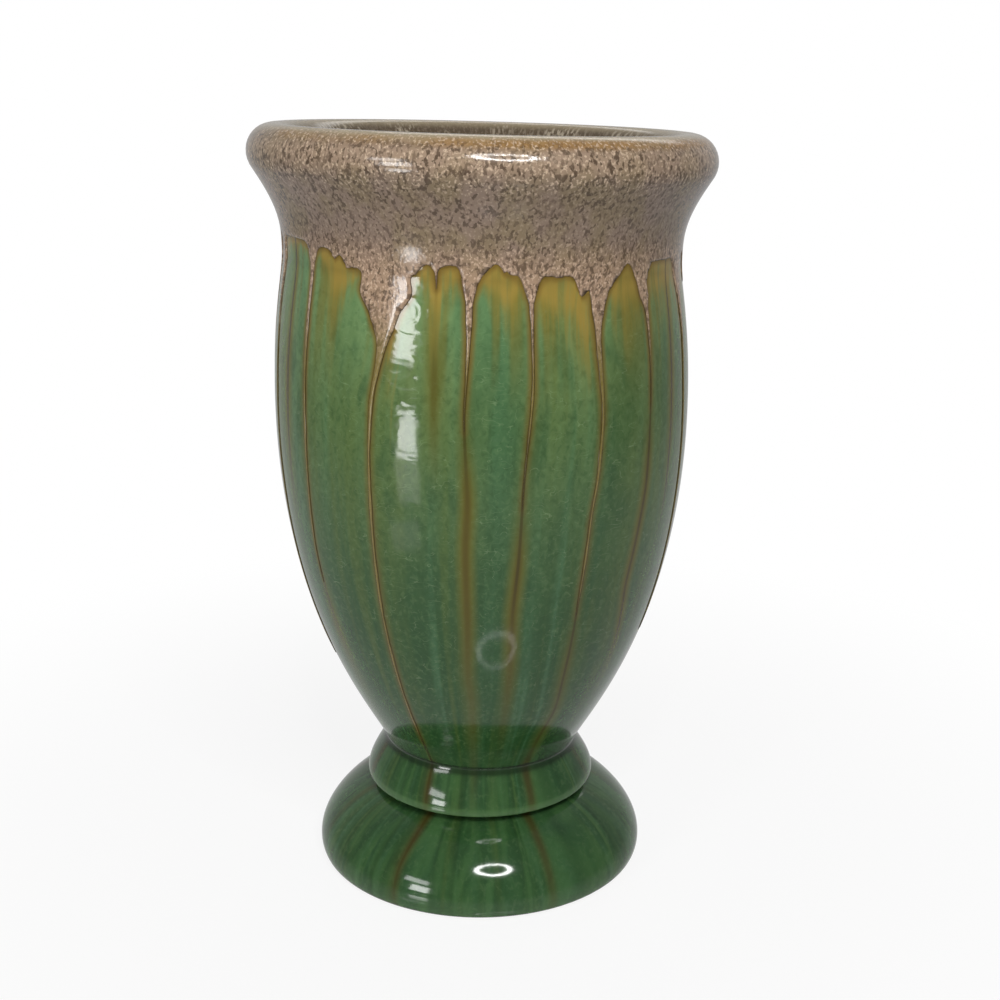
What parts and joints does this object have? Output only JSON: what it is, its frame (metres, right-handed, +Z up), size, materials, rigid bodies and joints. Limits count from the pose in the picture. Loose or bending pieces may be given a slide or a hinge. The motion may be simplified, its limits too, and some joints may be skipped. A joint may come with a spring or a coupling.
{
  "type": "pottery vase",
  "caption": "Pedestal vase with a deep rounded bowl, a rolled rim, a ring collar and a flared hollow foot, under a green glaze with brown drips.",
  "frame": {"origin": "on the table, under the middle of the foot", "axes": "+Z up, out of the mouth; -Y to the front, where the picture was taken; +X to the right in the picture"},
  "size_m": [0.1666, 0.1666, 0.2814],
  "materials": {
    "clay": "matte",
    "joining_slip": "matte",
    "green_glaze": "polished",
    "liner_glaze": "polished",
    "drip_glaze": "polished"
  },
  "bodies": {
    "root": {"foot": "clay", "foot_joining_slip": "joining_slip", "collar": "clay", "bowl_joining_slip": "joining_slip", "bowl": "clay", "green_glaze": "green_glaze", "liner_glaze": "liner_glaze", "drip_glaze": "drip_glaze"}
  },
  "joints": []
}
